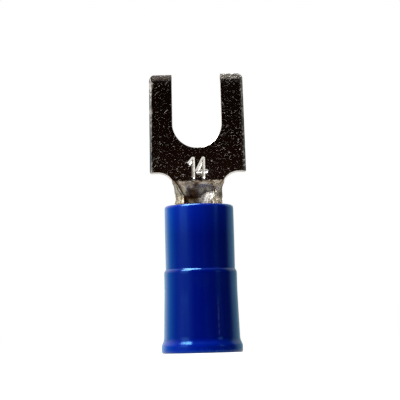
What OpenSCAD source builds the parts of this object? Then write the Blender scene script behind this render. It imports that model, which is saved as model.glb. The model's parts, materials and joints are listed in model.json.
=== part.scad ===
// Insulated fork terminal: a tinned copper lug with a slotted tongue, in a moulded vinyl sleeve.
// The wire enters at the mouth of the sleeve, at z = 0, and the fork points up along +Z.
// The open side of the throat and the struck number face -Y.

/* [Sheet] */
// Thickness of the copper sheet that the lug is stamped from
sheet_t = 0.75; // [0.6:0.05:0.9]

/* [Tongue] */
// Width of the tongue at its shoulders
tongue_w = 7.4; // [6.6:0.05:8.4]
// Width across both tines at their tips
tip_w = 7.2; // [6.4:0.05:8.2]
// Length from the shoulders to the tips
tongue_len = 7.6; // [6.8:0.1:9]
// Ease on the outer corner of each tip
tip_ease = 0.25; // [0.1:0.05:0.5]
// Width of the rolled bevel along the front edges
bevel_w = 0.28; // [0.1:0.02:0.4]
// Depth of the rolled bevel
bevel_d = 0.12; // [0.05:0.01:0.2]
// Set-back of the tongue's middle plane behind the axis of the barrel
tongue_setback = 0.75; // [0.5:0.05:1]

/* [Screw slot] */
// Diameter of the round bottom of the slot
slot_d = 3.78; // [3.2:0.02:4.4]
// Width of the slot at its open end
slot_mouth_w = 3.72; // [3.1:0.02:4.4]
// Depth of the slot, from the tips to its bottom
slot_depth = 5.7; // [4.6:0.1:6.1]

/* [Throat] */
// Width of the flat neck under the shoulders
neck_w = 3.72; // [3.3:0.02:4.2]
// Radius of the concave corner under each shoulder
shoulder_r = 1.25; // [0.9:0.05:1.6]
// Length of the flat neck, from the shoulders to the bend
root_len = 0.68; // [0.6:0.02:0.9]
// Length over which the sheet rolls up, from the bend to the closed barrel
throat_len = 3.54; // [2.8:0.02:4.4]
// Length of the ramp from the tongue's plane to the back of the barrel
ramp_len = 1.1; // [0.7:0.05:1.5]

/* [Barrel] */
// Bore of the barrel, which takes the bare wire
barrel_bore = 2.2; // [1.7:0.05:2.5]
// Length of the closed barrel
barrel_len = 3.6; // [2.8:0.1:5]
// Gap left along the butted seam
seam_gap = 0.06; // [0.04:0.01:0.1]
// Chamfer inside the barrel's end
barrel_chamfer = 0.15; // [0.05:0.05:0.3]

/* [Struck number] */
// Height of the figures
mark_h = 1.4; // [0.8:0.1:1.6]
// Width of a stroke
mark_stroke = 0.26; // [0.1:0.02:0.3]
// Depth of a stroke
mark_depth = 0.08; // [0.04:0.02:0.2]
// Height of the figures' middle above the bend
mark_lift = 1; // [0.9:0.05:1.3]

/* [Sleeve skirt] */
// Length of the skirt, from the mouth to the seat of the barrel
skirt_len = 6; // [4.5:0.1:8]
// Bore of the skirt, which takes the wire's insulation
entry_bore = 4.4; // [4.2:0.05:5]
// Wall of the skirt
skirt_wall = 0.58; // [0.4:0.02:0.8]
// Growth of the outside radius along the flare
flare_out = 0.12; // [0.05:0.01:0.3]
// Height at which the flare begins
flare_top = 4.7; // [2.5:0.1:4.9]
// Growth of the radius at the mouth's rim
rim_out = 0.21; // [0.1:0.01:0.4]
// Height of the straight rim
rim_h = 0.58; // [0.4:0.02:1]
// Height of the sloped shoulder over the rim
rim_slope = 0.42; // [0.2:0.02:0.8]
// Radius on the rim's lower edge
rim_r = 0.15; // [0.05:0.01:0.2]
// Growth of the bore's radius at the mouth
mouth_out = 0.35; // [0.15:0.05:0.4]
// Length of the mouth's lead-in
mouth_len = 1; // [0.5:0.1:1.5]
// Length of the funnel that leads the strands into the barrel
funnel_len = 0.7; // [0.4:0.05:1]

/* [Sleeve grip] */
// Wall around the barrel
grip_wall = 0.785; // [0.5:0.005:1]
// Length of sleeve above the closed barrel
grip_cover = 1.6; // [0.8:0.1:1.6]
// Height of the skirt's shoulder above the barrel's seat
step_lift = 0.46; // [0.2:0.02:1]
// Radius on the skirt's shoulder, which the grip stands out of
step_r = 0.45; // [0.2:0.05:0.6]
// Radius on the sleeve's upper lip
lip_r = 0.2; // [0.1:0.02:0.3]
// Radial clearance between the sleeve and the barrel
grip_gap = 0.01; // [0.005:0.005:0.03]
// Step of the collar that stops the barrel, outside its bore
collar_step = 0.4; // [0.2:0.05:0.5]

/* [Hidden] */
$fn = 96;
// Overshoot of the cuts past the faces that they open
past = 0.5;
// Share by which a wedge-shaped cutter stands out of the face that it cuts
overcut = 0.5;
// Inset of the rolled sheet where it runs into the tongue and the barrel
lap_inset = 0.02;
lap_len = 0.3;
// Rings along the rolled throat, and steps across it
throat_rings = 16;
throat_steps = 28;
// Wrap of the sheet at the bend, where it is still flat
flat_wrap = 0.5;
// Share by which the creases of the ramp are softened
crease_soft = 0.2;

bore_r = barrel_bore / 2;
barrel_r = bore_r + sheet_t;
wall_mid_r = bore_r + sheet_t / 2;
barrel_top = skirt_len + barrel_len;
bend_z = barrel_top + throat_len;
shoulder_z = bend_z + root_len;
tip_z = shoulder_z + tongue_len;
slot_z = tip_z - slot_depth + slot_d / 2;
tongue_front = tongue_setback - sheet_t / 2;
taper = atan((tongue_w - tip_w) / 2 / tongue_len);
corner_x = neck_w / 2 + shoulder_r;
arc_z = shoulder_z - shoulder_r;
seam_angle = asin(seam_gap / 2 / wall_mid_r);
// Each stroke of the figures 1 and 4 runs between two points, in heights of the figures
MARK = [
    [[-0.26, -0.5], [-0.26, 0.5]],
    [[-0.46, 0.26], [-0.26, 0.5]],
    [[0.3, -0.5], [0.3, 0.5]],
    [[0.3, 0.5], [-0.06, -0.2]],
    [[-0.06, -0.2], [0.46, -0.2]]
];

grip_r = barrel_r + grip_gap;
grip_outer_r = grip_r + grip_wall;
sleeve_top = barrel_top + grip_cover;
entry_r = entry_bore / 2;
skirt_r = entry_r + skirt_wall;
flare_r = skirt_r + flare_out;
mouth_rim_r = flare_r + rim_out;
step_z = skirt_len + step_lift;
collar_r = bore_r + collar_step;

function blend(a, b, s) = a + (b - a) * s;
// Run of the ramp, with a soft crease at each end
function ramp(s) = let (c = min(max(s, 0), 1)) c - crease_soft * sin(360 * c) / (2 * PI);

// Half-angle through which the sheet is wrapped, s of the way down the throat
function wrap(s) = blend(flat_wrap, 180 - seam_angle, s);
// Half-width under the shoulders, along the concave corner
function arc_half_w(z) = corner_x - sqrt(pow(shoulder_r, 2) - pow(max(z - arc_z, 0), 2));
// Half-width of the sheet seen from the front, until it stands up as a half-pipe
function half_width(s) = let (up = min(wrap(s) / 90, 1))
    max(blend(neck_w / 2, barrel_r, up), arc_half_w(bend_z - s * throat_len));
// Radius of the wrapped sheet's middle surface
function sheet_r(s) = wrap(s) < 90 ? half_width(s) / sin(wrap(s)) - sheet_t / 2 : wall_mid_r;
// Set-back of the sheet's middle line behind the axis
function setback(s) = blend(tongue_setback, wall_mid_r, ramp(s * throat_len / ramp_len));

// Point at a share u across the sheet and an offset from its middle surface
function sheet_point(s, z, u, offset, inset) =
    let (r = sheet_r(s), a = (wrap(s) - inset / r * 180 / PI) * u)
    [(r + offset) * sin(a), setback(s) - r + (r + offset) * cos(a), z];

// Ring of points around the sheet at one height: along its back face, then back along its front face
function sheet_ring(s, z, inset) = let (half_t = sheet_t / 2 - lap_inset) concat(
    [for (i = [0 : throat_steps])
        sheet_point(s, z, 2 * i / throat_steps - 1, half_t, inset)],
    [for (i = [throat_steps : -1 : 0])
        sheet_point(s, z, 2 * i / throat_steps - 1, -half_t, inset)]);

module rolled_throat() {
    shares = [for (k = [0 : throat_rings]) k / throat_rings];
    rings = concat(
        [sheet_ring(0, bend_z + lap_len, lap_inset)],
        [for (s = shares) sheet_ring(s, bend_z - s * throat_len, lap_inset)],
        [sheet_ring(1, barrel_top - lap_len, lap_inset)]);
    around = len(rings[0]);
    last = (len(rings) - 1) * around;
    side = [for (k = [0 : len(rings) - 2], i = [0 : around - 1])
        let (a = k * around + i, b = k * around + (i + 1) % around)
        each [[a, b + around, b], [a, a + around, b + around]]];
    caps = [for (i = [0 : throat_steps - 1]) let (j = around - 1 - i)
        each [[i, i + 1, j - 1, j], [last + i, last + j, last + j - 1, last + i + 1]]];
    polyhedron([for (ring = rings) each ring], concat(side, caps), convexity = 6);
}

module slot_outline() {
    translate([0, slot_z]) circle(d = slot_d);
    polygon([
        [-slot_d / 2, slot_z], [slot_d / 2, slot_z],
        [slot_mouth_w / 2, tip_z], [slot_mouth_w / 2, tip_z + past],
        [-slot_mouth_w / 2, tip_z + past], [-slot_mouth_w / 2, tip_z]
    ]);
}

module tongue_outline() {
    half_tip = tip_w / 2;
    half_w = tongue_w / 2;
    difference() {
        union() {
            polygon([
                [-half_w, shoulder_z], [half_w, shoulder_z],
                [half_tip, tip_z - tip_ease], [half_tip - tip_ease, tip_z],
                [tip_ease - half_tip, tip_z], [-half_tip, tip_z - tip_ease]
            ]);
            translate([-corner_x, bend_z]) square([2 * corner_x, root_len]);
        }
        for (side = [-1, 1])
            translate([side * corner_x, arc_z]) circle(r = shoulder_r);
        slot_outline();
    }
}

// Cutter for a front edge that runs along Z, with the sharp edge at the origin and the sheet at -X, +Y
module bevel_cutter(run) {
    linear_extrude(run) polygon([
        [-(1 + overcut) * bevel_w, -overcut * bevel_d],
        [bevel_w, -bevel_d],
        [overcut * bevel_w, (1 + overcut) * bevel_d]
    ]);
}

// V-shaped cut along one stroke of the figures
module stroke_cutter(from, to) {
    way = to - from;
    translate([from.x, tongue_front, from.y])
        rotate([0, atan2(way.x, way.y), 0])
            linear_extrude(norm(way)) polygon([
                [-(1 + overcut) * mark_stroke / 2, -overcut * mark_depth],
                [(1 + overcut) * mark_stroke / 2, -overcut * mark_depth],
                [0, mark_depth]
            ]);
}

module tongue() {
    difference() {
        translate([0, tongue_front + sheet_t, 0]) rotate([90, 0, 0])
            linear_extrude(sheet_t) tongue_outline();
        for (side = [0, 1]) mirror([side, 0, 0])
            translate([tongue_w / 2, tongue_front, shoulder_z]) rotate([0, -taper, 0])
                translate([0, 0, -past]) bevel_cutter(tongue_len + 2 * past);
        translate([tongue_w / 2, tongue_front, tip_z]) rotate([0, -90, 0]) bevel_cutter(tongue_w);
        for (stroke = MARK) stroke_cutter(
            [0, bend_z + mark_lift] + mark_h * stroke[0],
            [0, bend_z + mark_lift] + mark_h * stroke[1]);
    }
}

module barrel() {
    difference() {
        translate([0, 0, skirt_len]) cylinder(r = barrel_r, h = barrel_len);
        translate([0, 0, skirt_len - past]) cylinder(r = bore_r, h = barrel_len + 2 * past);
        translate([0, 0, skirt_len - barrel_chamfer])
            cylinder(r1 = bore_r + 2 * barrel_chamfer, r2 = bore_r, h = 2 * barrel_chamfer);
        translate([-seam_gap / 2, -barrel_r - past, skirt_len - past])
            cube([seam_gap, barrel_r + past, barrel_len + 2 * past]);
    }
}

module fork_lug() {
    color("silver") {
        tongue();
        rolled_throat();
        barrel();
    }
}

// Sharp outside corner less its round, for a corner whose solid lies inwards, and below (up = 1) or above it
module corner_cutter(x, z, r, up) {
    translate([x - r, z - up * r]) difference() {
        translate([0, up > 0 ? 0 : -r - past]) square([r + past, r + past]);
        circle(r = r);
    }
}

module skirt_section() {
    difference() {
        polygon([
            [bore_r, 0], [mouth_rim_r, 0], [mouth_rim_r, rim_h], [flare_r, rim_h + rim_slope],
            [skirt_r, flare_top], [skirt_r, step_z], [bore_r, step_z]
        ]);
        corner_cutter(mouth_rim_r, 0, rim_r, -1);
        corner_cutter(skirt_r, step_z, step_r, 1);
    }
}

module grip_section() {
    difference() {
        translate([bore_r, skirt_len - funnel_len])
            square([grip_outer_r - bore_r, sleeve_top - skirt_len + funnel_len]);
        corner_cutter(grip_outer_r, sleeve_top, lip_r, 1);
    }
}

module sleeve_section() {
    difference() {
        union() {
            skirt_section();
            grip_section();
        }
        polygon([
            [0, -past], [entry_r + mouth_out * (1 + past / mouth_len), -past],
            [entry_r, mouth_len], [entry_r, skirt_len - funnel_len],
            [collar_r, skirt_len], [grip_r, skirt_len],
            [grip_r, sleeve_top + past], [0, sleeve_top + past]
        ]);
    }
}

module insulating_sleeve() {
    color("mediumblue") rotate_extrude() sleeve_section();
}

fork_lug();
insulating_sleeve();
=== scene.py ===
# %% [markdown]
# # A fork terminal, dressed from its solids
# A fork terminal joins a stranded wire to a screw. A lug is stamped from tinned copper sheet, its
# tail is rolled into a barrel for the wire, and a blue vinyl sleeve is pressed over that barrel.
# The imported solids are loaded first. They are the frame: every size below is read from them or
# stated next to them, so the dressed pieces fall into place without any fitting.

# %% Load the frame
import json
from functools import reduce

import bpy
import numpy as np
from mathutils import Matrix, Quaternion, Vector


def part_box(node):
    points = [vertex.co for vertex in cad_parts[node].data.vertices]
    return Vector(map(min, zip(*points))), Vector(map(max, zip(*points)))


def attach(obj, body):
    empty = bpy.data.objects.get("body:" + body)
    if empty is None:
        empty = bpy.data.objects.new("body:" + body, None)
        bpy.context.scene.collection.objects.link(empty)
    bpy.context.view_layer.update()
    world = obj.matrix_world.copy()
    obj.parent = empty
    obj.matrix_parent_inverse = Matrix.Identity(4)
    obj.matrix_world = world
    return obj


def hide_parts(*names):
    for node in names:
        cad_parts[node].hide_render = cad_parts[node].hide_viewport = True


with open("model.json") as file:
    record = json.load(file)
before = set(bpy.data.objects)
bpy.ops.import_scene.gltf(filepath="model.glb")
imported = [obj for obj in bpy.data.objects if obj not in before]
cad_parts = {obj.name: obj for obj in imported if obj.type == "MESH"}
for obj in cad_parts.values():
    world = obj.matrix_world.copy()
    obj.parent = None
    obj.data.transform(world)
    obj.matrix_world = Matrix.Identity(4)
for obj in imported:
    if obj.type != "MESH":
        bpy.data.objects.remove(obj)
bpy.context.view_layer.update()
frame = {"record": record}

# %% [markdown]
# ## Sizes
# The drawing of such a small part is easier to read in millimetres, so all the arithmetic is done
# in them, and a point becomes metres only when it enters a mesh or a finish. The boxes of the two
# nodes and the places where other parts fit, its mounts, give most of the sizes.

# %% Read the sizes of the lug
MM = 0.001


def box_in_mm(node):
    """Lowest and highest corner of a node, in millimetres."""
    return [np.array(corner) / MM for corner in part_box(node)]


mounts = {mount["name"]: mount for mount in frame["record"]["mounts"]}
lug_low, lug_high = box_in_mm("fork_lug")

barrel_foot, tip_z = lug_low[2], lug_high[2]
barrel_r = -lug_low[1]
bore_r = mounts["wire_barrel"]["dims"]["r_mm"]
sheet_t = barrel_r - bore_r
wall_mid_r = bore_r + sheet_t / 2
tongue_half = lug_high[0]
slot_r = mounts["screw_slot"]["dims"]["r_mm"]
slot_z = mounts["screw_slot"]["pos_m"][2] / MM
tongue_mid_y = mounts["tongue_back"]["pos_m"][1] / MM - sheet_t / 2
print(f"sheet {sheet_t:.3f} mm, barrel radius {barrel_r:.3f} mm, slot radius {slot_r:.3f} mm")

# %% State the sizes that no box gives
tongue_len = 7.6
tip_half = 3.6
tip_ease = 0.25
mouth_half = 1.86
neck_half = 1.86
shoulder_r = 1.25
root_len = 0.68
throat_len = 3.54
seam_half = 0.03
flat_wrap = np.radians(0.5)

shoulder_z = tip_z - tongue_len
bend_z = shoulder_z - root_len
barrel_top = bend_z - throat_len
corner_x = neck_half + shoulder_r
full_wrap = np.pi - np.arcsin(seam_half / wall_mid_r)
print(f"shoulders at {shoulder_z:.2f}, bend at {bend_z:.2f}, barrel up to {barrel_top:.2f} mm")

# %% [markdown]
# ## From arrays to a mesh
# Both pieces are grids of points that are worked out as whole arrays. One helper puts such an
# array into a mesh. It keeps the object at the origin with its place in the mesh, and marks the
# edges that turn sharply, so that a sheared edge stays crisp while a rolled one shades softly. A
# second helper stores one number for each point, which a finish can read later.


# %% Helpers that make a piece
def make_piece(name, points, quads, sharp_degrees):
    """Puts points in millimetres, and quads of their numbers, into a smooth-shaded piece."""
    mesh = bpy.data.meshes.new(name)
    mesh.from_pydata((points * MM).tolist(), [], quads.tolist())
    mesh.polygons.foreach_set("use_smooth", np.ones(len(quads), bool))
    mesh.set_sharp_from_angle(angle=np.radians(sharp_degrees))
    piece = bpy.data.objects.new(name, mesh)
    bpy.context.scene.collection.objects.link(piece)
    print(name, len(points), "points", 2 * len(quads), "triangles")
    return piece


def add_attribute(piece, name, values):
    """Stores one number for each point of a piece, for its material to read."""
    attribute = piece.data.attributes.new(name, "FLOAT", "POINT")
    attribute.data.foreach_set("value", np.asarray(values, np.float32))


print("mesh helpers ready")

# %% [markdown]
# ## The sleeve
# The sleeve is a vinyl moulding, round all the way, so it is one profile carried round the axis.
# A stack of cylinders would leave knife edges at the step and the rim. Here the profile is drawn
# as corners, and each corner is eased by its own reach, as the polish of a mould eases it.

# %% Corners of the sleeve's profile
sleeve_high = box_in_mm("insulating_sleeve")[1]
sleeve_top = sleeve_high[2]
rim_r = sleeve_high[0]
entry_r = mounts["wire_entry"]["dims"]["r_mm"]
skirt_r, flare_r, grip_outer_r = 2.78, 2.9, 2.645
grip_bore_r, collar_r, mouth_bore_r = 1.86, 1.5, 2.55
rim_h, rim_slope, flare_top = 0.58, 0.42, 4.7
step_z, step_r, funnel_len, mouth_len = 6.46, 0.45, 0.7, 1.0
rim_draft = 0.02

# The skirt's shoulder is an arc that the grip stands out of
shoulder_turn = np.linspace(0, np.arccos(1 - (skirt_r - grip_outer_r) / step_r), 7)
step_arc = np.stack([skirt_r - step_r * (1 - np.cos(shoulder_turn)),
                     step_z - step_r * (1 - np.sin(shoulder_turn)), 0 * shoulder_turn], 1)
step_arc[-1, 2] = 0.05

# Radius, height and reach of the ease at each corner, from the mouth up the outside and back inside
sleeve_corners = np.array([
    [mouth_bore_r, 0, 0.08], [rim_r, 0, 0.16], [rim_r - rim_draft, rim_h, 0.12],
    [flare_r, rim_h + rim_slope, 0.2], [skirt_r, flare_top, 0.6], *step_arc,
    [grip_outer_r, sleeve_top, 0.26], [grip_bore_r, sleeve_top, 0.1],
    [grip_bore_r, barrel_foot, 0.01], [collar_r, barrel_foot, 0.06],
    [entry_r, barrel_foot - funnel_len, 0.15], [entry_r, mouth_len, 0.3],
])
print("sleeve profile", len(sleeve_corners), "corners")

# %% Ease the corners and fill the straight runs


def parabola(before, corner, after, steps):
    """A curve from one point to another, bent towards the corner between them: (1-s)^2 of the
    point before, plus 2s(1-s) of the corner, plus s^2 of the point after."""
    s = np.linspace(0, 1, steps)[:, None]
    before, corner, after = (np.asarray(p, float)[..., None, :] for p in (before, corner, after))
    return (1 - s) ** 2 * before + 2 * s * (1 - s) * corner + s ** 2 * after


def ease_corners(corners):
    """Each corner becomes a parabola between two points at its reach before and after it."""
    place, reach = corners[:, :2], corners[:, 2:]
    to_last, to_next = np.roll(place, 1, 0) - place, np.roll(place, -1, 0) - place
    before = place + reach * to_last / np.linalg.norm(to_last, axis=1, keepdims=True)
    after = place + reach * to_next / np.linalg.norm(to_next, axis=1, keepdims=True)
    return parabola(before, place, after, steps=8).reshape(-1, 2)


def walk(line):
    """Distance from the start of a line of points to each of them, along the line."""
    return np.concatenate([[0], np.cumsum(np.linalg.norm(np.diff(line, axis=0), axis=1))])


def points_at(line, stops):
    """Points at given distances along a line of points, straight between its own."""
    run = walk(line)
    return np.stack([np.interp(stops, run, line[:, i]) for i in (0, 1)], 1)


def fill_runs(outline, spacing, closest=0.004):
    """Adds points along the straight runs of a closed outline, so that no gap exceeds spacing."""
    closed = np.vstack([outline, outline[:1]])
    run = walk(closed)
    stops = np.union1d(run, np.arange(0, run[-1], spacing))[:-1]
    stops = stops[np.concatenate([[True], np.diff(stops) > closest])]
    return points_at(closed, stops)


sleeve_profile = fill_runs(ease_corners(sleeve_corners), 0.17)
print("sleeve profile", len(sleeve_profile), "points")

# %% Carry the profile round the axis
sleeve_turns = 176
mould_ripple = 0.008
lip_draw, lip_from = 0.02, 8.2
skin_from, skin_to = 2.4, 2.6


def turn_profile(profile, turns):
    """Point (radius, height) at angle t goes to (radius cos t, radius sin t, height). The outside
    is a little out of round, by two slow waves round the axis, and draws in towards the lip by
    the square of the height above lip_from. Both only ever take away."""
    angle = np.arange(turns) / turns * 2 * np.pi
    radius, height = (column[:, None] for column in profile.T)
    outside = np.clip((radius - skin_from) / (skin_to - skin_from), 0, 1)
    wave = np.sin(2 * angle + 0.25 * height + 0.5) + 0.6 * np.sin(3 * angle - 0.5 * height)
    shrink = lip_draw * np.clip((height - lip_from) / (sleeve_top - lip_from), 0, 1) ** 2
    radius = radius - outside * (mould_ripple * (0.5 + wave / 3.2) + shrink)
    points = np.stack([radius * np.cos(angle), radius * np.sin(angle), height + 0 * angle], 2)
    number = np.arange(len(profile) * turns).reshape(len(profile), turns)
    on, up = np.roll(number, -1, 1), np.roll(number, -1, 0)
    quads = np.stack([number, up, np.roll(up, -1, 1), on], 2).reshape(-1, 4)[:, ::-1]
    return points.reshape(-1, 3), quads


sleeve = make_piece("vinyl_sleeve", *turn_profile(sleeve_profile, sleeve_turns), sharp_degrees=50)
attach(sleeve, "root")
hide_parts("insulating_sleeve")

# %% [markdown]
# ## The blank of the lug
# On the press the lug starts as a flat blank: a fork at one end, a neck, and two wide ears at the
# other end. The same is done here. One half of the blank is a grid of rows that run from an inner
# line, the middle of the blank and then the edge of the slot, to an outer line, the cut edge.
# Rows lie close together where the number is struck and at the tips, where the edge rolls over.

# %% How the sheet is wrapped at each height


def blend(a, b, s):
    """The way from a to b, s of it done."""
    return a + (b - a) * s


def wrap_at(z):
    """Half-angle of the wrap: none at the bend, growing evenly to the closed barrel."""
    return blend(flat_wrap, full_wrap, np.clip((bend_z - z) / throat_len, 0, 1))


def roll_radius(z):
    """Radius of the sheet's middle surface. Until the sides stand upright, the sheet keeps its
    width as seen from the front, so the radius is that half-width over the sine of the wrap.
    Above the bend it is so large that the sheet is flat."""
    wrap = np.minimum(wrap_at(z), np.pi / 2)
    arc = np.clip(z - (shoulder_z - shoulder_r), 0, shoulder_r)
    half = blend(neck_half, barrel_r, wrap / (np.pi / 2))
    half = np.maximum(half, corner_x - np.sqrt(shoulder_r ** 2 - arc ** 2) * (z < shoulder_z))
    return np.where(z < bend_z, half / np.sin(wrap) - sheet_t / 2, 1e5)


def edge_at(z):
    """Half-width of the flat blank below the bend: the radius times the angle of the wrap."""
    return roll_radius(z) * wrap_at(z)


print(f"ears {2 * edge_at(barrel_foot):.2f} mm across the flat, neck {2 * neck_half:.2f} mm")

# %% Rows of the blank, from the barrel's foot to the tips
slot_bottom = slot_z - slot_r
below = 1e-4
rows_barrel = barrel_foot + (barrel_top - barrel_foot) * np.linspace(0, 1, 22)[:-1] ** 1.4
rows_throat = np.linspace(barrel_top, bend_z - below, 64)
rows_root = np.linspace(bend_z, slot_bottom, 74)
turn_slot = np.linspace(0, np.pi / 2, 36)[1:]
rows_slot = slot_z + (tip_z - slot_z) * (1 - (1 - np.linspace(0, 1, 62)[1:]) ** 1.5)
low_rows = np.concatenate([rows_barrel, rows_throat])
slot_row = len(low_rows) + len(rows_root) - 1
print("rows", sum(map(len, (low_rows, rows_root, turn_slot, rows_slot))), "slot from", slot_row)

# %% The outlines of a shoulder and of a tip
corner_ease, tip_lead = 0.1, 0.3
side_from, side_to = slot_bottom + 0.25, slot_z + 0.15


def side_x(z):
    """Half-width of the tongue, which narrows evenly from its shoulders to its tips."""
    return blend(tongue_half, tip_half, (z - shoulder_z) / tongue_len)


def on_side(z):
    """The point of the tongue's side at a height."""
    return [side_x(z), z]


# The shoulder: a concave arc, a short flat, a corner, and the side as far as the slot's bottom
arc_from = np.arcsin((bend_z - shoulder_z + shoulder_r) / shoulder_r)
arc = np.linspace(arc_from, np.pi / 2, 40)
shoulder_corner = (tongue_half, shoulder_z)
shoulder_line = np.vstack([
    np.stack([corner_x - shoulder_r * np.cos(arc),
              shoulder_z - shoulder_r + shoulder_r * np.sin(arc)], 1),
    parabola((tongue_half - corner_ease, shoulder_z), shoulder_corner,
             on_side(shoulder_z + corner_ease), steps=9),
    [on_side(side_from)],
])
# The tip: the side, then an eased corner that runs out into the end of the tine
side_end = tip_z - tip_ease
tip_points = np.array([on_side(side_end - tip_lead), [tip_half, side_end],
                       [tip_half - tip_ease, tip_z], [tip_half - 2 * tip_ease, tip_z]])
halfway = (tip_points[:-1] + tip_points[1:]) / 2
tip_line = np.vstack([
    [on_side(side_to)],
    parabola(halfway[0], tip_points[1], halfway[1], steps=9),
    parabola(halfway[1], tip_points[2], halfway[2], steps=9)[1:],
])
print("shoulder", len(shoulder_line), "points, tip", len(tip_line), "points")

# %% The inner line and the outer line
slot_share = (rows_slot - slot_z) / (tip_z - slot_z)
turn_side_z = np.linspace(side_from, side_to, len(turn_slot) + 1)[1:]
root_share = np.linspace(0, 1, len(rows_root))
inner_line = np.vstack([
    np.stack([0 * low_rows, low_rows], 1),
    np.stack([0 * rows_root, rows_root], 1),
    np.stack([slot_r * np.sin(turn_slot), slot_z - slot_r * np.cos(turn_slot)], 1),
    np.stack([blend(slot_r, mouth_half, slot_share), rows_slot], 1),
])
outer_line = np.vstack([
    np.stack([edge_at(low_rows), low_rows], 1),
    points_at(shoulder_line, root_share * walk(shoulder_line)[-1]),
    np.stack([side_x(turn_side_z), turn_side_z], 1),
    points_at(tip_line, slot_share * walk(tip_line)[-1]),
])
print("inner line", inner_line.shape, "outer line", outer_line.shape)

# %% The grid between the two lines
near_middle = 0.78 * np.linspace(0, 1, 25) ** 1.15
near_edge = np.array([0.34, 0.28, 0.22, 0.16, 0.11, 0.07, 0.035, 0.015, 0])
inner_share = 0.45


def columns(length):
    """Distances along each row: close together by the inner line, evenly spread, and close
    together again by the outer line, where the edge is rolled."""
    inner = near_middle * np.minimum(1, inner_share * length[:, None] / near_middle[-1])
    outer = length[:, None] - near_edge
    s = np.linspace(0, 1, 26)[1:-1]
    return np.hstack([inner, blend(inner[:, -1:], outer[:, :1], s), outer])


row_way = outer_line - inner_line
row_length = np.linalg.norm(row_way, axis=1)
share = (columns(row_length) / row_length[:, None])[:, :, None]
half_blank = inner_line[:, None] + row_way[:, None] * share
print("half of the blank", half_blank.shape[:2], "points")

# %% Both halves as one numbered grid
row_count, column_count = half_blank.shape[:2]
right = np.arange(row_count * column_count).reshape(row_count, column_count)
left = right + right.size
mirrored = half_blank * np.array([-1, 1])
left[:slot_row + 1, 0] = right[:slot_row + 1, 0]
blank = np.vstack([half_blank.reshape(-1, 2), mirrored.reshape(-1, 2)])
kept, renumber = np.unique(np.concatenate([right.ravel(), left.ravel()]), return_inverse=True)
blank = blank[kept]
right, left = renumber.reshape(2, row_count, column_count)


def grid_quads(number):
    """The four corners of each cell of a numbered grid."""
    corners = [number[:-1, :-1], number[:-1, 1:], number[1:, 1:], number[1:, :-1]]
    return np.stack(corners, 2).reshape(-1, 4)


face_quads = np.vstack([grid_quads(right), grid_quads(left)[:, ::-1]])
# The cut edge, once round: up the slot, over a tip, down a side, across the foot, and back up
rim = np.concatenate([
    right[slot_row:, 0], right[-1, 1:], right[-2::-1, -1], right[0, -2::-1],
    left[0, 1:], left[1:, -1], left[-1, -2::-1], left[-2:slot_row:-1, 0],
])
print("blank", len(blank), "points, cut edge", len(rim), "points")

# %% [markdown]
# ## Forming the sheet
# The blank is now bent as the press bends it. A point keeps its place on the sheet, and the sheet
# curls: flat above the bend, then a trough with upright sides, then a closed barrel. The middle
# line also steps back, down a ramp, from the tongue's plane to the back of the barrel. On the real
# lug the punch sat a little to one side, so that half of the trough's front has a shorter, hollow
# ramp. Depth in the sheet is measured along its true normal, so it follows the bend.

# %% Dents in the throat
# Place across and along the blank, reach and depth of each knock in the throat
knocks = np.array([[1.55, 12.0, 0.3, 0.045], [-0.8, 12.45, 0.4, -0.03]])
dent_depth = 0.022


def rise(value, start, end):
    """A smooth step from 0 at start to 1 at end: 3s^2 - 2s^3 of the way s, held at its ends."""
    s = np.clip((value - start) / (end - start), 0, 1)
    return s * s * (3 - 2 * s)


def crumple(a, z):
    """Small dents that the punch leaves in the throat, as a few crossed waves that fade out at
    the tongue and inside the sleeve, and two round knocks, each a bell curve of the distance."""
    here = rise(z, bend_z + 0.02, bend_z - 0.4) * rise(z, barrel_top + 0.9, barrel_top + 1.7)
    waves = (np.sin(3.1 * a + 1.9 * z + 0.4) + 0.8 * np.sin(4.6 * z - 2.7 * a + 1.1)
             + 0.5 * np.sin(6.3 * a + 4.4 * z + 2.0) + 0.3 * np.sin(13 * a - 8 * z + 0.7))
    off = np.hypot(a[..., None] - knocks[:, 0], z[..., None] - knocks[:, 1]) / knocks[:, 2]
    return here * (dent_depth * waves + (knocks[:, 3] * np.exp(-off ** 2)).sum(-1))


print(f"dents of {np.abs(crumple(*blank.T)).max():.3f} mm at most")

# %% The forming function
ramp_len = 1.1
ramp_long, ramp_short, ramp_hollow = 1.08, 0.61, 1.8
crease_soft = 0.1
normal_step = 0.02


def middle_surface(a, z, press):
    """Point a across and z along the blank: angle = a / radius, x = radius sin(angle),
    y = setback - radius (1 - cos(angle)), with the setback growing down the ramp. The ramp is
    straight, less a small sine that softens the crease at each end. On one side, where the punch
    has pressed harder by the share press, it is shorter and starts with a hollow."""
    radius = roll_radius(z)
    angle = a / radius
    pressed = press * rise(a, -0.2, 0.7)
    ramp = ramp_len * blend(ramp_long, ramp_short, pressed)
    hollow = blend(1, ramp_hollow, pressed * rise(a, 1.7, 1.1))
    down = np.clip((bend_z - z) / ramp, 0, 1) ** hollow
    down = down - crease_soft * np.sin(2 * np.pi * down) / (2 * np.pi)
    setback = blend(tongue_mid_y, wall_mid_r, down)
    drop = 2 * radius * np.sin(angle / 2) ** 2
    return np.stack([radius * np.sin(angle), setback - drop, z], -1)


def form(a, z, depth, press):
    """The middle surface, moved by depth along its normal, towards the back of the lug. The hard
    press marks the front only, so the sheet is thinner there: press is 1 in front and 0 behind."""
    h = normal_step
    across = middle_surface(a + h, z, press) - middle_surface(a - h, z, press)
    up = middle_surface(a, z + h, press) - middle_surface(a, z - h, press)
    normal = np.cross(up, across)
    normal /= np.linalg.norm(normal, axis=-1, keepdims=True)
    return middle_surface(a, z, press) + (depth + crumple(a, z))[:, None] * normal


print("throat floor at", form(np.zeros(1), np.array([bend_z - ramp_len]), np.zeros(1), 1).round(3))

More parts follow.
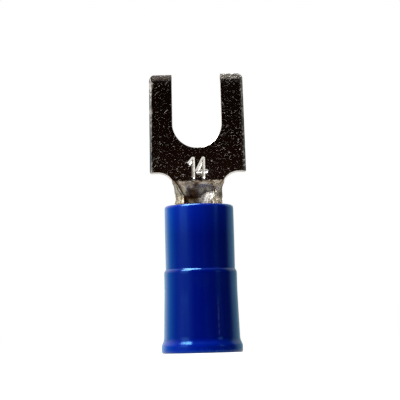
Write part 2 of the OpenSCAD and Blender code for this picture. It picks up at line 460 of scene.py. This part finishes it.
# %% [markdown]
# ## Edges and figures
# A stamped edge tells how it was cut. The punch draws the front edge down in a soft roll, shears a
# smooth band, and then tears the rest, which is a little rough and leans in. The outer sides and
# the tips are rolled wider, and unevenly. The wire size, a plain 14, is struck into the neck as
# V-shaped grooves, with a low lip where the metal is pushed aside. A bump in the finish could only
# pretend to these, so all of it is depth on the grid.

# %% Distance from each point to the cut edges
nowhere = 9.0


def to_side(a, z):
    """Distance to the tongue's side, large below the shoulders."""
    return np.where(z > shoulder_z - 1e-6, side_x(z) - np.abs(a), nowhere)


def to_cut_edge(a, z):
    """Distance to the nearest of the slot, the shoulder's arc, the ears and the foot."""
    x = np.abs(a)
    slot = np.where(z < slot_z, np.hypot(x, z - slot_z) - slot_r,
                    x - blend(slot_r, mouth_half, (z - slot_z) / (tip_z - slot_z)))
    arc_z = shoulder_z - shoulder_r
    to_arc = np.hypot(x - corner_x, z - arc_z) - shoulder_r
    shoulder = np.where(x < corner_x, to_arc, z - shoulder_z)
    shoulder = np.where((z > arc_z) & (z < shoulder_z + 0.5), shoulder, nowhere)
    ears = np.where(z < bend_z, edge_at(z) - x, nowhere)
    return np.clip(np.minimum.reduce([slot, shoulder, ears, z - barrel_foot]), 0, None)


cut_distance = to_cut_edge(*blank.T)
side_distance, tip_distance = to_side(*blank.T), tip_z - blank[:, 1]
print("points on the cut edge", int((cut_distance < 1e-6).sum()))

# %% How far the edges are rolled
roll_w, roll_d = 0.28, 0.12
tip_roll_w, tip_roll_d, tip_power = 0.5, 0.15, 1.15
near_tip, far_tip = 0.81, 0.97
cut_w, cut_d = 0.04, 0.018


def uneven(a, z):
    """How wide the roll is along each side: growing from the shoulders to the tips, with crossed
    waves along the edge, and a knock near the tip of one tine."""
    run = z + 1.7 * np.sign(a)
    slow = 0.2 * np.sin(2.9 * run) * np.sin(1.3 * run + 1)
    quick = 0.16 * np.sin(9.7 * run + 2 * np.sin(3.1 * run))
    knock = 0.6 * np.exp(-((z - tip_z + 0.75) / 0.22) ** 2) * (a < 0)
    return blend(0.6, 1, rise(z, shoulder_z, tip_z)) + slow + quick + knock


def fall(distance, width, power=1.7):
    """How far a rolled edge has fallen: 1 at the edge, easing to 0 at its width by a power."""
    return np.clip(1 - distance / width, 0, 1) ** power


tip_drop = tip_roll_d * blend(near_tip, far_tip, blank[:, 0] > 0)
edge_drop = np.maximum.reduce([
    roll_d * fall(side_distance, roll_w * uneven(*blank.T)),
    tip_drop * fall(tip_distance, tip_roll_w, tip_power),
    cut_d * fall(cut_distance, cut_w),
])
print(f"edges fall by {edge_drop.max():.3f} mm at most")

# %% The struck figures
mark_h, mark_stroke, mark_depth, mark_lift = 1.4, 0.26, 0.08, 1.0
lip_at, lip_width, lip_share = 1.35, 0.28, 0.1
strokes = np.array([
    [[-0.26, -0.5], [-0.26, 0.5]], [[-0.46, 0.26], [-0.26, 0.5]], [[0.3, -0.5], [0.3, 0.5]],
    [[0.3, 0.5], [-0.06, -0.2]], [[-0.06, -0.2], [0.46, -0.2]],
]) * mark_h + np.array([0, bend_z + mark_lift])


def struck(points):
    """Depth of the grooves: the mark's depth at a stroke's middle line, falling in straight walls
    to nothing at half its width, with a low lip just outside."""
    start, way = strokes[:, 0], strokes[:, 1] - strokes[:, 0]
    t = ((points[:, None] - start) * way).sum(-1) / (way ** 2).sum(-1)
    foot = start + np.clip(t, 0, 1)[..., None] * way
    off = np.linalg.norm(points[:, None] - foot, axis=-1).min(1) / (mark_stroke / 2)
    lip = np.exp(-((off - lip_at) / lip_width) ** 2) * np.clip(off - 0.7, 0, 1)
    return mark_depth * (np.clip(1 - off, 0, 1) - lip_share * lip)


figure_depth = struck(blank)
print(f"figures {figure_depth.max():.3f} mm deep")

# %% [markdown]
# ## Closing the sheet
# The front face and the back face are the same grid at two depths. Between them runs the sheared
# wall, as a ladder of rings. The two grids could be joined by a Solidify modifier, but its wall
# would be smooth, and here each ring leans in by its own amount, with a fine tear.

# %% Depths of the two faces and shape of the wall
back_drop, back_w = 0.02, 0.05
front_depth = -sheet_t / 2 + edge_drop + figure_depth
all_edges = np.minimum.reduce([cut_distance, side_distance, tip_distance])
back_depth = sheet_t / 2 - back_drop * fall(all_edges, back_w)
wall_share = np.array([0.08, 0.2, 0.34, 0.46, 0.58, 0.7, 0.82, 0.92])
wall_lean = np.array([0, 0, 0, 0.008, 0.018, 0.024, 0.026, 0.018])


def sheared_wall():
    """Rings between the front and the back of the cut edge. Each leans in from the cut by its
    own amount, along the edge's normal in the blank, with a fine tear along the rough part."""
    edge = blank[rim]
    way = np.roll(edge, -1, 0) - np.roll(edge, 1, 0)
    inward = np.stack([way[:, 1], -way[:, 0]], 1) / np.linalg.norm(way, axis=1, keepdims=True)
    run = np.cumsum(np.linalg.norm(way, axis=1) / 2)
    tear = 0.75 + 0.25 * np.sin(19 * run + 2 * np.sin(7 * run)) * np.sin(31 * run)
    flat = edge + (wall_lean[:, None] * tear)[..., None] * inward
    depth = blend(front_depth[rim], back_depth[rim], wall_share[:, None])
    press = np.repeat(1 - wall_share, len(rim))
    return form(flat[..., 0].ravel(), flat[..., 1].ravel(), depth.ravel(), press)


wall = sheared_wall()
print("sheared wall", len(wall_share), "rings of", len(rim), "points")

# %% Join the faces and the wall
front = form(*blank.T, front_depth, 1)
back = form(*blank.T, back_depth, 0)
count, rings = len(blank), len(wall_share)
ring_number = 2 * count + np.arange(rings * len(rim)).reshape(rings, len(rim))
ladder = np.vstack([rim, ring_number, rim + count])
step_on = np.roll(ladder, -1, 1)
wall_corners = [ladder[:-1], step_on[:-1], step_on[1:], ladder[1:]]
wall_quads = np.stack(wall_corners, 2).reshape(-1, 4)
lug_quads = np.vstack([face_quads, face_quads[:, ::-1] + count, wall_quads])
lug = make_piece("tinned_lug", np.vstack([front, back, wall]), lug_quads, sharp_degrees=48)
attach(lug, "root")
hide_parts("fork_lug")

# %% Note what was done to each point of the lug
dirt_at, dirt_w = 0.12, 0.16
half_cut = np.zeros(count)
half_cut[rim] = 0.5
worked = rise(blank[:, 1], bend_z + 0.06, bend_z - 0.01)
worked_wall = np.tile(worked[rim], rings)
dirt = fall(np.abs(cut_distance - dirt_at), dirt_w, 1.0) * worked

# Each note has its values on the front face, on the back face and on the sheared wall
notes = {
    "sheared": (half_cut, half_cut, 1),
    "worked": (worked, worked, worked_wall),
    # The throat's stain note also carries a painted shade in the trough
    "stained_and_shaded": (worked, 0, 0.3 * worked_wall),
    "dirty": (dirt, 0, 0),
    "rolled": (rise(side_distance, 1.2 * roll_w, 0.6 * roll_w), 0, 0),
    "through": (0, 1, np.repeat(wall_share, len(rim))),
    "struck": (np.clip(figure_depth / mark_depth, 0, 1), 0, 0),
}
for name, values in notes.items():
    parts = [np.broadcast_to(v, n) for v, n in zip(values, (count, count, len(wall)))]
    add_attribute(lug, name, np.concatenate(parts))
print("notes on the lug:", ", ".join(notes))

# %% [markdown]
# ## Helpers for finishes
# A finish is a small tree of shader nodes. One helper adds a node and fills its inputs, either
# with a value or with a link from another node, so that each finish below reads from top to
# bottom. The other helpers are short names for the nodes that are used most.

# %% Add a node, start a finish


def put(tree, kind, inputs=None, **settings):
    """Adds a node, sets what it is told, and links or sets its inputs by name or number."""
    node = tree.nodes.new(kind)
    for name, value in settings.items():
        setattr(node, name, value)
    for key, value in (inputs or {}).items():
        if isinstance(value, bpy.types.NodeSocket):
            tree.links.new(value, node.inputs[key])
        else:
            node.inputs[key].default_value = value
    return node


def start_finish(name):
    """A new material with an empty tree, a Principled shader and the piece's own coordinates."""
    finish = bpy.data.materials.new(name)
    finish.use_nodes = True
    tree = finish.node_tree
    tree.nodes.clear()
    shader = put(tree, "ShaderNodeBsdfPrincipled")
    put(tree, "ShaderNodeOutputMaterial", {"Surface": shader.outputs["BSDF"]})
    place = put(tree, "ShaderNodeTexCoord").outputs["Object"]
    return finish, tree, shader, place


def note(tree, name):
    """A number that was stored for each point of the piece."""
    return put(tree, "ShaderNodeAttribute", attribute_name=name).outputs["Fac"]


print("node helpers ready")

# %% Arithmetic and colour


def remap(tree, value, low, high, to_low=0.0, to_high=1.0):
    """Carries low..high to to_low..to_high, held at the ends."""
    inputs = {"Value": value, "From Min": low, "From Max": high,
              "To Min": to_low, "To Max": to_high}
    return put(tree, "ShaderNodeMapRange", inputs).outputs["Result"]


def calc(tree, operation, *values):
    """One operation on two numbers, or on more of them in turn."""
    def pair(a, b):
        return put(tree, "ShaderNodeMath", {0: a, 1: b}, operation=operation).outputs[0]
    return reduce(pair, values)


def times(tree, *values):
    """The product of the values."""
    return calc(tree, "MULTIPLY", *values)


def plus(tree, *values):
    """The sum of the values."""
    return calc(tree, "ADD", *values)


def mix_colours(tree, factor, a, b):
    """Colour a where the factor is 0, and b where it is 1."""
    inputs = {0: factor, 6: a, 7: b}
    return put(tree, "ShaderNodeMix", inputs, data_type="RGBA").outputs[2]


print("arithmetic helpers ready")

# %% Patterns and bumps


def mapped(tree, place, scale=(1, 1, 1), turn=(0, 0, 0)):
    """Coordinates that are scaled, then turned by angles in radians."""
    inputs = {"Vector": place, "Scale": scale, "Rotation": turn}
    return put(tree, "ShaderNodeMapping", inputs).outputs[0]


def noise(tree, place, scale, detail, roughness=0.5):
    """A cloudy pattern between 0 and 1, with so many waves to the metre."""
    inputs = {"Vector": place, "Scale": scale, "Detail": detail, "Roughness": roughness}
    return put(tree, "ShaderNodeTexNoise", inputs).outputs[0]


def bump(tree, height, strength, distance, under=None, invert=False):
    """Tilts the surface as a relief of this height would, on top of the bump under it."""
    inputs = {"Height": height, "Strength": strength, "Distance": distance}
    if under is not None:
        inputs["Normal"] = under
    return put(tree, "ShaderNodeBump", inputs, invert=invert).outputs[0]


print("pattern helpers ready")

# %% [markdown]
# ## Tin plate
# Bright tin over rolled copper is a warm mirror that is never quite flat. Barrel plating leaves
# fine pits and rubs, and each of them turns a little of the mirror towards another part of the
# room, which is why a dark face sparkles. White dots could be painted on, but they would stay
# white from every side. Here they are bumps, so they move with the light.

# %% Patterns of the tin
tin, tree, shader, place = start_finish("tin_plate_bright")
askew = mapped(tree, place, turn=(0.5, 0.8, 0.35))
cloud = noise(tree, place, 620, detail=3)
blot = noise(tree, place, 1300, detail=4, roughness=0.65)
mottle = noise(tree, place, 2100, detail=3)
crease = noise(tree, askew, 3400, detail=2)
grain = noise(tree, askew, 6200, detail=4, roughness=0.6)
mill = noise(tree, mapped(tree, place, scale=(3800, 3800, 160)), 1, detail=3)
# Scratches are grains drawn out along a slant
slant = mapped(tree, place, turn=(0, -0.75, 0))
scores = noise(tree, mapped(tree, slant, scale=(9000, 9000, 1300)), 1, detail=1)
scratch = remap(tree, scores, 0.68, 0.8)
fleck = remap(tree, grain, 0.57, 0.72)
# Every seventh cell or so of a net of cells holds a round pit
cells = put(tree, "ShaderNodeTexVoronoi", {"Vector": place, "Scale": 4600, "Randomness": 1}).outputs
lot = put(tree, "ShaderNodeSeparateColor", {0: cells["Color"]}).outputs[0]
pit = times(tree, remap(tree, cells["Distance"], 0.1, 0.5, 1, 0), remap(tree, lot, 0.86, 1.0))
print("patterns of the tin,", len(tree.nodes), "nodes")

# %% Where a point of the lug lies
at = {name: note(tree, name) for name in notes}
spot = put(tree, "ShaderNodeSeparateXYZ", {0: place}).outputs
one_side = remap(tree, spot["X"], -0.5 * MM, 0.5 * MM, 1, 0)
tip_band = remap(tree, spot["Z"], (tip_z - 0.8) * MM, (tip_z - 0.35) * MM)
print("places on the lug,", len(tree.nodes), "nodes")

# %% Colour of the tin
tin_light, tin_shade = (0.72, 0.69, 0.64, 1), (0.55, 0.52, 0.46, 1)
mill_grey, rolled_side_grey = (0.44, 0.41, 0.37, 1), (0.16, 0.15, 0.14, 1)
tone = mix_colours(tree, remap(tree, cloud, 0.35, 0.65), tin_light, tin_shade)
tone = mix_colours(tree, remap(tree, mill, 0.45, 0.7, 0, 0.5), tone, mill_grey)
# The rolled sides are darker in blots, most of all near the shoulders
rolled_side_dark = remap(tree, spot["Z"], (shoulder_z + 3.2) * MM, (tip_z - 1) * MM, 0.97, 0.6)
rolled_side_dark = times(tree, at["rolled"], rolled_side_dark, remap(tree, blot, 0.3, 0.5))
print("colour of the tin,", len(tree.nodes), "nodes")

# %% [markdown]
# ## Stains, painted shade and the sheared edge
# The trough of the throat is where plating liquor dries and dirt gathers, so it is stained olive
# and brown, and the same darkening stands as painted shade in the trough, apart from a few clear
# spots. On the sheared edge the plating is thin, and copper shows through in patches, painted
# lighter on the right and darker on the left as painted light and shade, with dark seams, a torn
# grey band and a darkening towards the sleeve.
# Stains could be drawn on a flat picture of the lug. The notes on its points do the same without
# one, because each says how much of a mark belongs there, and noise breaks it up.

# %% Stains and painted shade in the throat
# Middle of each clear spot, in millimetres, and the share of stain and painted shade left there
clear_spots = (((0.7, 1.0, 11.9), 0.0), ((-0.9, 0.4, 12.7), 0.75),
          ((0.5, 0.9, 12.6), 0.0), ((1.6, 0.1, 12.1), 0.15))
clear_core, clear_reach = 0.5, 0.9
stain_and_shade_olive, stain_and_shade_brown = (0.38, 0.31, 0.18, 1), (0.11, 0.05, 0.025, 1)
# The stain also darkens the trough as a painted shade, and lifts at the clear spots
stain_and_shade = at["stained_and_shaded"]
for middle, left_over in clear_spots:
    ends = {0: place, 1: [x * MM for x in middle]}
    off = put(tree, "ShaderNodeVectorMath", ends, operation="DISTANCE").outputs["Value"]
    stain_and_shade = times(tree, stain_and_shade, remap(tree, off, clear_core * MM, clear_reach * MM, left_over, 1))
olive = times(tree, stain_and_shade, remap(tree, mottle, 0.36, 0.58, 0.6, 1))
brown = times(tree, stain_and_shade, remap(tree, blot, 0.41, 0.55, 0, 0.96))
dirt = times(tree, at["dirty"], remap(tree, mottle, 0.3, 0.5, 0.4, 1))
tone = mix_colours(tree, olive, tone, stain_and_shade_olive)
tone = mix_colours(tree, calc(tree, "MAXIMUM", brown, dirt), tone, stain_and_shade_brown)
# The rolled sides darken in blots towards the shoulders
tone = mix_colours(tree, rolled_side_dark, tone, rolled_side_grey)
print("stains,", len(tree.nodes), "nodes")

# %% Copper with painted light and shade, seams, tear and darkening on the sheared edge
bare_painted_light, bare_painted_shade = (0.78, 0.71, 0.5, 1), (0.31, 0.28, 0.2, 1)
seam_dark, toward_sleeve_dark = (0.09, 0.075, 0.05, 1), (0.1, 0.08, 0.05, 1)
torn_grey = (0.34, 0.3, 0.24, 1)
copper = times(tree, at["sheared"], remap(tree, mottle, 0.42, 0.6, 0.3, 0.95))
copper = times(tree, copper, remap(tree, at["worked"], 0, 1, 0.45, 1))
# The bare metal is painted lighter on the right cut edges, a painted light, and darker on the left,
# a painted shade
tone = mix_colours(tree, copper, tone, mix_colours(tree, one_side, bare_painted_light, bare_painted_shade))
waver = plus(tree, times(tree, at["through"], 11), times(tree, mottle, 10))
seams = times(tree, remap(tree, calc(tree, "SINE", waver, 0), 0.1, 0.8), at["worked"])
# The seams are made stronger on the left, which adds to the painted shade on that side
seams = times(tree, seams, remap(tree, one_side, 0, 1, 0.45, 1), at["sheared"])
tone = mix_colours(tree, seams, tone, seam_dark)
torn = remap(tree, plus(tree, at["through"], times(tree, mottle, 0.5)), 0.68, 0.78)
torn = times(tree, torn, at["sheared"], 0.5)
tone = mix_colours(tree, torn, tone, torn_grey)
# The cut edge is darker towards the sleeve, in blots
toward_sleeve = remap(tree, spot["Z"], (sleeve_top + 1.1) * MM, (sleeve_top + 0.2) * MM)
toward_sleeve = times(tree, at["sheared"], toward_sleeve, remap(tree, blot, 0.35, 0.6, 0.5, 1))
tree.links.new(mix_colours(tree, toward_sleeve, tone, toward_sleeve_dark), shader.inputs["Base Color"])
print("sheared edge,", len(tree.nodes), "nodes")

# %% [markdown]
# ## Gloss and relief of the tin
# The flat faces keep the gloss of the plating bath. Where the press has worked the sheet, at the
# cut, in the throat and in the struck figures, the tin is duller. The relief is a stack of bumps,
# each on top of the last: slow waves, dents in the throat, an ear and a tip that were crushed, the
# flecks, and last the pits and scratches. One noise for all of them would look like paint.

# %% Where the tin is dull
dull_worn = 0.3
far_roll = times(tree, at["rolled"], remap(tree, one_side, 0, 1, 0.45, 0))
figures = remap(tree, at["struck"], 0, 0.3)
worn = plus(tree, at["sheared"], at["worked"], times(tree, tip_band, 0.3), torn, figures, far_roll)
dull = plus(tree, remap(tree, cloud, 0.3, 0.7, 0.05, 0.11), times(tree, worn, dull_worn))
tree.links.new(dull, shader.inputs["Roughness"])
shader.inputs["Metallic"].default_value = 1.0
print("gloss of the tin,", len(tree.nodes), "nodes")

# %% Waves, dents, flecks, pits and scratches
soft = bump(tree, cloud, 0.4, 1.5e-5)
dents = bump(tree, mottle, times(tree, at["worked"], 0.6), 3e-5, soft)
crushed_ear = times(tree, remap(tree, spot["X"], 0.7 * MM, 1.1 * MM), at["worked"])
crushed_tip = times(tree, tip_band, remap(tree, one_side, 0, 1, 0.3, 0))
crushed = bump(tree, crease, calc(tree, "MAXIMUM", crushed_ear, crushed_tip), 1.8e-4, dents)
# Flecks grow stronger up the tongue, and most of all where an edge was knocked
most = remap(tree, one_side, 0, 1, 0.4, 0.33)
rubs = remap(tree, spot["Z"], shoulder_z * MM, (tip_z - 1) * MM, 0.235, most)
rubs = times(tree, rubs, remap(tree, cloud, 0.35, 0.65, 1.1, 0.9))
knocked = times(tree, calc(tree, "MAXIMUM", tip_band, at["rolled"]), 0.5)
flecks = bump(tree, fleck, calc(tree, "MAXIMUM", rubs, knocked), 1e-5, crushed)
scratches = times(tree, scratch, remap(tree, one_side, 0, 1, 0.4, 0.65))
deep = bump(tree, plus(tree, pit, scratches), 0.4, 1.4e-5, flecks, invert=True)
tree.links.new(deep, shader.inputs["Normal"])
lug.data.materials.append(tin)
print("tin plate,", len(tree.nodes), "nodes")

# %% [markdown]
# ## Blue vinyl
# The sleeve is soft vinyl, coloured through and glossy from a polished mould. Its colour is deep
# and saturated, a touch lighter in slow clouds, and painted lighter at the rim and the lip, a
# painted light. The mould leaves long faint draw lines down the sleeve, and handling leaves a
# light haze; one long streak is lighter in colour and duller, so the gloss is broken a little. The
# light that scatters inside the vinyl could be computed, but a tinted sheen gives the same pale
# edge at less cost.

# %% Colour of the vinyl
deep_blue, cloud_blue = (0.0001, 0.005, 0.25, 1), (0.0002, 0.007, 0.28, 1)
painted_light_blue, streak_violet = (0.0005, 0.015, 0.41, 1), (0.03, 0.02, 0.26, 1)
streak_turn = np.radians(26.5)
vinyl, tree, shader, place = start_finish("vinyl_deep_blue")
peel = noise(tree, place, 2400, detail=2)
tone = mix_colours(tree, noise(tree, place, 350, detail=3), deep_blue, cloud_blue)
spot = put(tree, "ShaderNodeSeparateXYZ", {0: place}).outputs
# The rim and the lip are painted lighter, a painted light
rim_painted_light = remap(tree, spot["Z"], 1.1 * MM, 0.6 * MM)
lip_painted_light = remap(tree, spot["Z"], 8.8 * MM, 10.8 * MM)
tone = mix_colours(tree, calc(tree, "MAXIMUM", rim_painted_light, lip_painted_light), tone, painted_light_blue)
# One long streak down the skirt, lighter in colour and duller, at an angle round the axis
turn = calc(tree, "ARCTAN2", spot["X"], times(tree, spot["Y"], -1))
off_streak = calc(tree, "ABSOLUTE", calc(tree, "SUBTRACT", turn, streak_turn), 0)
streak_ends = times(tree, remap(tree, spot["Z"], 1.2 * MM, 1.6 * MM),
                 remap(tree, spot["Z"], 4.3 * MM, 3.4 * MM))
streak = times(tree, remap(tree, off_streak, 0.01, 0.032, 1, 0), streak_ends, remap(tree, peel, 0.35, 0.6))
tree.links.new(mix_colours(tree, streak, tone, streak_violet), shader.inputs["Base Color"])
print("colour of the vinyl,", len(tree.nodes), "nodes")

# %% Gloss and relief of the vinyl
draw = noise(tree, mapped(tree, place, scale=(2600, 2600, 60)), 1, detail=2)
gloss = plus(tree, remap(tree, draw, 0.3, 0.7, 0.08, 0.16), times(tree, streak, 0.25))
tree.links.new(gloss, shader.inputs["Roughness"])
lines = bump(tree, draw, 0.06, 1e-5)
tree.links.new(bump(tree, peel, 0.12, 1e-5, lines), shader.inputs["Normal"])
shader.inputs["IOR"].default_value = 1.5
shader.inputs["Specular Tint"].default_value = (0.15, 0.58, 1.0, 1)
shader.inputs["Sheen Weight"].default_value = 0.5
shader.inputs["Sheen Roughness"].default_value = 0.35
shader.inputs["Sheen Tint"].default_value = (0.0, 0.8, 1.0, 1)
sleeve.data.materials.append(vinyl)
print("blue vinyl,", len(tree.nodes), "nodes")

# %% [markdown]
# ## Floor and light
# The object stands on a pale floor in a white room. Both are white only to the camera and to
# mirrors. The light that falls on the object comes from a weak fill and one soft lamp at the upper
# left, so the vinyl keeps its depth and the floor keeps a shadow.

# %% Lay the floor
floor_half, floor_drop = 1.5, 2e-6
floor_corners = np.array([[-1, -1, 0], [1, -1, 0], [1, 1, 0], [-1, 1, 0]]) * floor_half
floor_mesh = bpy.data.meshes.new("floor")
floor_mesh.from_pydata((floor_corners - [0, 0, floor_drop]).tolist(), [], [(0, 1, 2, 3)])
floor = bpy.data.objects.new("floor", floor_mesh)
bpy.context.scene.collection.objects.link(floor)


def seen_directly(tree):
    """1 for rays from the camera, a mirror or glass, and 0 for the light that fills the room."""
    path = put(tree, "ShaderNodeLightPath").outputs
    return calc(tree, "MAXIMUM", path["Is Glossy Ray"], path["Is Transmission Ray"],
                path["Is Camera Ray"])


pale, tree, shader, place = start_finish("floor_pale")
shader.inputs["Base Color"].default_value = (0.4, 0.4, 0.4, 1)
shader.inputs["Roughness"].default_value = 0.9
shader.inputs["Specular IOR Level"].default_value = 0.0
shader.inputs["Emission Color"].default_value = (1, 1, 1, 1)
far = put(tree, "ShaderNodeVectorMath", {0: place}, operation="LENGTH").outputs["Value"]
paleness = times(tree, seen_directly(tree), remap(tree, far, 0.05, 0.3, 0.88, 1.0))
tree.links.new(paleness, shader.inputs["Emission Strength"])
floor_mesh.materials.append(pale)
print("floor laid,", 2 * floor_half, "m wide")

# %% Light the room
room_fill = 0.06
lamp_aim = Vector((0, 0, 0.01))
world = bpy.data.worlds.new("white_room")
bpy.context.scene.world = world
world.use_nodes = True
tree = world.node_tree
tree.nodes.clear()
level = remap(tree, seen_directly(tree), 0, 1, room_fill, 1.0)
sky = put(tree, "ShaderNodeBackground", {"Color": (1, 1, 1, 1), "Strength": level})
put(tree, "ShaderNodeOutputWorld", {"Surface": sky.outputs[0]})


def direction(azimuth, elevation):
    """Unit vector at azimuth a and elevation e, in degrees: (sin a cos e, -cos a cos e, sin e).
    Azimuth 0 is the front, and azimuth 90 is the right as seen from there."""
    a, e = np.radians(azimuth), np.radians(elevation)
    return np.stack([np.sin(a) * np.cos(e), -np.cos(a) * np.cos(e), np.sin(e)], -1)


def put_lamp(name, azimuth, elevation, distance, size, energy):
    """A soft square lamp that looks at the middle of the object."""
    away = Vector(direction(azimuth, elevation))
    data = bpy.data.lights.new(name, "AREA")
    data.size, data.energy = size, energy
    lamp = bpy.data.objects.new(name, data)
    lamp.location = away * distance + lamp_aim
    lamp.rotation_euler = away.to_track_quat("Z", "Y").to_euler()
    bpy.context.scene.collection.objects.link(lamp)
    return lamp


key = put_lamp("window_lamp", azimuth=-58, elevation=55, distance=0.3, size=0.16, energy=1.08)
key.visible_camera = False
print("lamp", key.name, "at", [round(x, 3) for x in key.location])

# %% [markdown]
# ## The room that mirrors see
# A mirror shows whatever is in front of it, so a flat tin face in an all-white room would look
# white. A photographer leaves the half of the room round the camera dark. The same is done here
# with a dome that only mirrors see: dark in front and white behind the object, with a ceiling, two
# windows and a skylight. Panels of light could do the same, but they would light the vinyl too.

# %% How pale and how blue the room is


def band(value, low, high, soft):
    """1 between low and high, with a soft edge inside each end, and 0 outside."""
    return rise(value, low, low + soft) * rise(value, high, high - soft)


def room_glow(azimuth, elevation):
    """How pale the room is in a direction: black round the camera, dim on its left, white behind
    the object on both sides, with a ceiling. A tall window and a broad skylight are at the upper
    left, the skylight with a strip overhead, and a small faint window is on the right. Along the
    horizon there is a trace of warm light."""
    rightward, backward = np.moveaxis(direction(azimuth, elevation), -1, 0)[:2]
    left = 0.45 * rise(azimuth, -14, -48) + 0.9 * rise(azimuth, -80, -120)
    left = left - 0.75 * rise(azimuth, -145, -180)
    right = 0.8 * rise(azimuth, 95, 120) - 0.2 * rise(azimuth, 145, 180)
    ceiling = rise(elevation, 32, 74) * blend(1, 0.6, rise(azimuth, -10, 30))
    window = band(azimuth, -70, -38, 6) * rise(elevation, 4, 8)
    far_window = band(azimuth, 48, 68, 6) * rise(elevation, 5.5, 8) * rise(elevation, 30, 22)
    pane = band(azimuth, -80, -34, 8) * rise(elevation, 32, 40)
    strip = rise(rightward, 0.03, -0.02) * rise(rightward, -0.6, -0.5)
    overhead = strip * rise(elevation, 60, 68) * rise(backward, 0.3, 0.15)
    skylight = np.maximum(9 * pane, 24 * overhead)
    warm = 0.019 * rise(elevation, 9, 5)
    walls = np.maximum.reduce([left, right, ceiling])
    return walls + 1.5 * window + 0.9 * far_window + skylight + warm


def room_cool(azimuth, elevation):
    """How blue the daylight is: most low down at both sides of the object, and none in front of
    it, behind it and overhead."""
    left = rise(azimuth, -70, -85) * blend(1, 0.25, rise(azimuth, -112, -142))
    right = 0.6 * rise(azimuth, 85, 105) * rise(azimuth, 170, 150)
    return np.maximum(left, right) * rise(elevation, 18, 8)


dome_azimuth, dome_elevation = np.meshgrid(np.linspace(-180, 180, 181),
                                           88 * np.linspace(0, 1, 45) ** 1.6)
dome_glow = room_glow(dome_azimuth, dome_elevation)
dome_cool = room_cool(dome_azimuth, dome_elevation)
print(f"room from {dome_glow.min():.3f} to {dome_glow.max():.1f} pale")

# %% Put up the room
room_radius = 0.5
glow_most, glow_least = 20, 0.0045
ember, white, daylight_blue = (0.95, 0.38, 0.22, 1), (1, 1, 1, 1), (0.15, 0.74, 1.0, 1)
dome = room_radius * direction(dome_azimuth, dome_elevation)
dome_quads = grid_quads(np.arange(dome_glow.size).reshape(dome_glow.shape))
room_mesh = bpy.data.meshes.new("room")
room_mesh.from_pydata(dome.reshape(-1, 3).tolist(), [], dome_quads.tolist())
room = bpy.data.objects.new("room", room_mesh)
add_attribute(room, "glow", dome_glow.ravel())
add_attribute(room, "cool", dome_cool.ravel())
room.visible_camera = room.visible_diffuse = room.visible_shadow = False
bpy.context.scene.collection.objects.link(room)

dim, tree, shader, place = start_finish("room_dim")
shader.inputs["Base Color"].default_value = (0, 0, 0, 1)
shader.inputs["Specular IOR Level"].default_value = 0.0
glow = note(tree, "glow")
daylight = mix_colours(tree, note(tree, "cool"), white, daylight_blue)
tint = mix_colours(tree, remap(tree, glow, 0.01, 0.22), ember, daylight)
tree.links.new(tint, shader.inputs["Emission Color"])
# The strength is held at glow_most, which also flattens the middle of the overhead strip
strength = remap(tree, glow, 0, glow_most, glow_least, glow_most)
tree.links.new(strength, shader.inputs["Emission Strength"])
room_mesh.materials.append(dim)
print("room put up,", len(dome_quads), "faces")

# %% [markdown]
# ## Camera
# The picture was taken from straight ahead and slightly below the middle, since the sleeve's upper
# lip bows upwards while its foot is a straight line. The part stands a little crooked in the
# picture, so the camera is rolled, and the part is left upright.

# %% Place the camera
camera_at = np.array([0.1, -130.0, 1.0])
look_at = np.array([0.1, 0.0, 11.64])
camera_roll = np.radians(1.45)
field_mm = 30.58
sensor_mm = 36.0
camera_data = bpy.data.cameras.new("camera")
camera_data.sensor_width = sensor_mm
camera_data.lens = sensor_mm * np.linalg.norm(look_at - camera_at) / field_mm
camera_data.clip_start = 0.01
camera = bpy.data.objects.new("camera", camera_data)
camera.location = camera_at * MM
camera.rotation_mode = "QUATERNION"
towards = Vector(look_at - camera_at).to_track_quat("-Z", "Y")
camera.rotation_quaternion = towards @ Quaternion((0, 0, 1), -camera_roll)
bpy.context.scene.collection.objects.link(camera)
bpy.context.scene.camera = camera
bpy.context.scene.view_settings.view_transform = "Standard"
print(f"camera with a {camera_data.lens:.1f} mm lens")

# %% [markdown]
# ## Finish
# The dressed part has to stay inside the box of its solids.

# %% Finish
bpy.context.view_layer.update()
